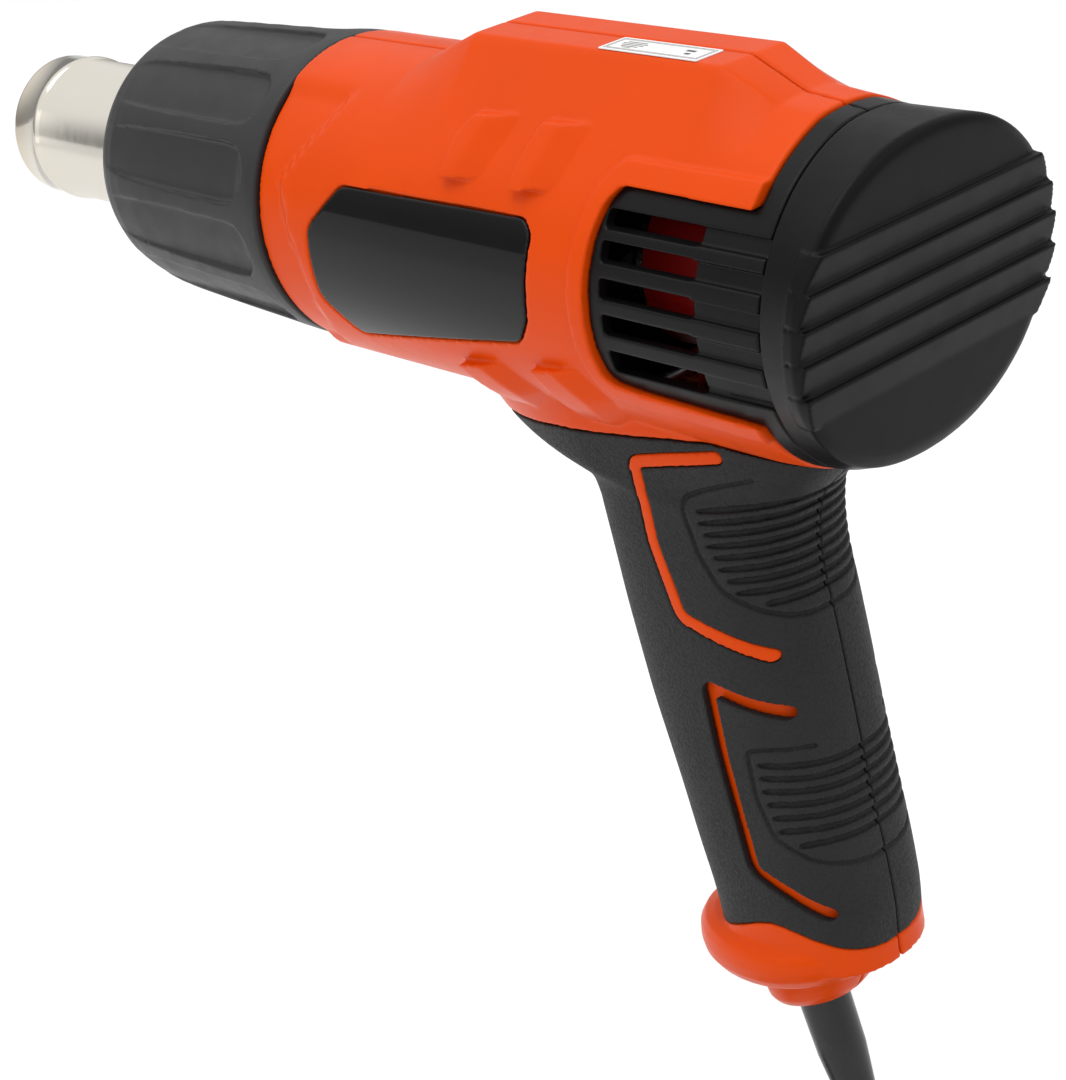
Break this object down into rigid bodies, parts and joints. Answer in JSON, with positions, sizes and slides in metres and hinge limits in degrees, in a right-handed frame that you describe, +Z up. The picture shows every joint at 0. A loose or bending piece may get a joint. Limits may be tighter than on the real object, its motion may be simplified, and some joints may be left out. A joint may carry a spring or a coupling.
{
  "type": "heat gun",
  "caption": "Pistol-grip hot-air gun with steel nozzle, grey heat guard, orange shell, rubber grip, sliding switch, fan motor, heater and coiled mains cord.",
  "frame": {"origin": "middle of the pistol grip, where a hand holds the tool", "axes": "+X along the barrel towards the nozzle, +Y to the tool's left, +Z up, with the barrel level"},
  "size_m": [0.3662, 0.1343, 0.3175],
  "materials": {
    "orange_plastic": "satin moulded orange plastic with small shine on the edges",
    "black_plastic": "satin black moulded plastic",
    "guard_plastic": "satin dark grey heat-resistant plastic",
    "grip_rubber": "soft-touch rubber with fine leather-like speckle",
    "badge_gloss": "glossy black inlay",
    "nozzle_steel": "polished stainless steel",
    "zinc_steel": "bright zinc-plated steel",
    "copper": "copper windings and sintered bronze bushes",
    "mica": "mica sheet",
    "ceramic": "white steatite ceramic",
    "red_plastic": "red plastic",
    "board": "green circuit board",
    "label": "white vinyl label",
    "cord_pvc": "black PVC",
    "carbon": "pressed carbon",
    "heater_wire": "oxidised heating wire",
    "ferrite": "sintered ferrite",
    "blue_wire": "blue wire insulation"
  },
  "bodies": {
    "body": {"housing_left": "orange_plastic", "housing_right": "orange_plastic", "grip_left": "grip_rubber", "grip_right": "grip_rubber", "housing_screw_1": "zinc_steel", "housing_screw_2": "zinc_steel", "housing_screw_3": "zinc_steel", "housing_screw_4": "zinc_steel", "housing_screw_5": "zinc_steel", "housing_screw_6": "zinc_steel", "guard_bracket": "zinc_steel", "motor_can": "zinc_steel", "clamp_screw_1": "zinc_steel", "clamp_screw_2": "zinc_steel", "plug_pin_1": "zinc_steel", "plug_pin_2": "zinc_steel", "badge_left": "badge_gloss", "badge_right": "badge_gloss", "top_label": "label", "intake_left": "black_plastic", "intake_right": "black_plastic", "rear_cap": "black_plastic", "air_funnel": "black_plastic", "motor_end_bell": "black_plastic", "motor_mount": "black_plastic", "switch_body": "black_plastic", "cord_clamp": "black_plastic", "cord_tie": "black_plastic", "heat_guard": "guard_plastic", "nozzle_tube": "nozzle_steel", "mica_sleeve": "mica", "heater_former": "mica", "heater_coil_a": "heater_wire", "heater_coil_b": "heater_wire", "heater_end_ring": "ceramic", "thermal_cutout": "ceramic", "terminal_block": "ceramic", "motor_sleeve": "red_plastic", "capacitor": "red_plastic", "lead_motor": "red_plastic", "bearing_front": "copper", "bearing_rear": "copper", "magnet_left": "ferrite", "magnet_right": "ferrite", "brush_left": "carbon", "brush_right": "carbon", "control_board": "board", "lead_board": "blue_wire", "lead_heater": "blue_wire", "cord_inner": "cord_pvc", "strain_relief": "cord_pvc", "cord_run": "cord_pvc", "cord_coil": "cord_pvc", "cord_tail": "cord_pvc", "plug_body": "cord_pvc"},
    "rotor": {"rotor_shaft": "zinc_steel", "commutator": "copper", "rotor_core": "copper", "fan_impeller": "black_plastic"},
    "switch": {"switch_knob": "black_plastic"}
  },
  "joints": [
    {"name": "switch_slide", "type": "slide", "parent": "body", "child": "switch", "axis": [0.1761, 0, 0.9844], "range_m": [0, 0.01]},
    {"name": "fan_spin", "type": "hinge", "parent": "body", "child": "rotor", "pos_m": [0.017, 0, 0.098], "axis": [1, 0, 0], "continuous": true}
  ]
}
